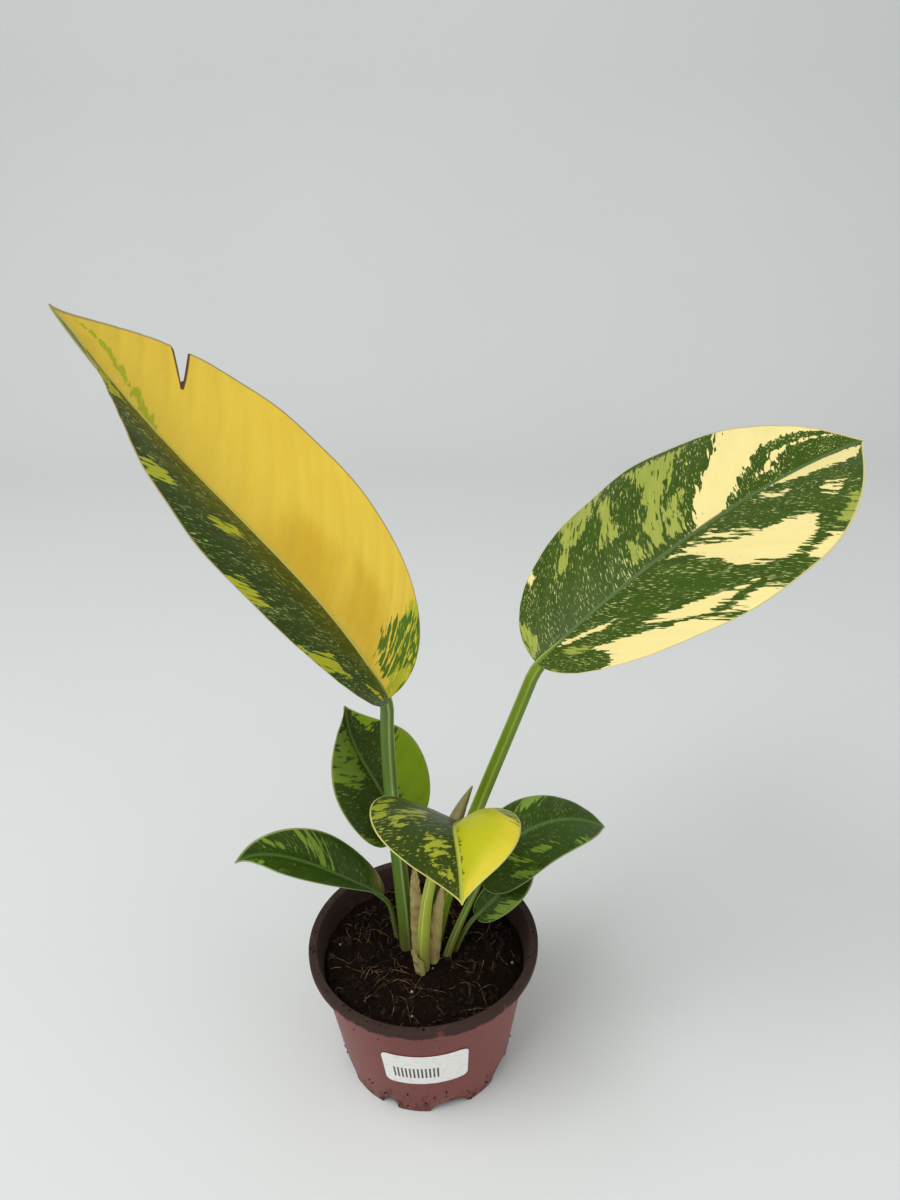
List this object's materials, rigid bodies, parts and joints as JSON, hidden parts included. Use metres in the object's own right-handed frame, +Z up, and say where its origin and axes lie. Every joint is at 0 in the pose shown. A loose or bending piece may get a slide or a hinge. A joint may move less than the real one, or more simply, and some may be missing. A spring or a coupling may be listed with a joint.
{
  "type": "potted philodendron",
  "caption": "Young variegated foliage plant with upright and low leaves on grooved stalks, growing from dark potting mix in a small tapered nursery pot with a blank label.",
  "frame": {"origin": "centre of the pot's base, on the surface that it stands on", "axes": "+Z up, +X to the viewer's right, +Y away from the viewer, so that the front leaf points along -Y"},
  "size_m": [0.3167, 0.1432, 0.3584],
  "materials": {
    "pot_plastic": "thin red-brown thermoformed plastic, dusty, rim stained by soil",
    "potting_mix": "moist dark potting mix of fine bark, peat and coir fibre",
    "stem_base": "matt olive stem tissue, buried",
    "label_paper": "blank white sticker",
    "leaf": "waxy leaf, dark green marbled with cream, yellow and lime",
    "leaf_stalk": "satin green stalk, grooved along its length",
    "papery_sheath": "dry olive-brown sheath, matt"
  },
  "bodies": {
    "root": {"pot": "pot_plastic", "potting_soil": "potting_mix", "crown": "stem_base", "blank_label": "label_paper", "blade_left_tall": "leaf", "blade_right_tall": "leaf", "blade_back": "leaf", "blade_front": "leaf", "blade_low_left": "leaf", "blade_low_right": "leaf", "blade_low_small": "leaf", "stalk_left_tall": "leaf_stalk", "stalk_right_tall": "leaf_stalk", "stalk_back": "leaf_stalk", "stalk_front": "leaf_stalk", "stalk_low_left": "leaf_stalk", "stalk_low_right": "leaf_stalk", "stalk_low_small": "leaf_stalk", "new_leaf_spear": "papery_sheath", "sheath_left": "papery_sheath", "sheath_front": "papery_sheath", "sheath_right": "papery_sheath"}
  },
  "joints": []
}
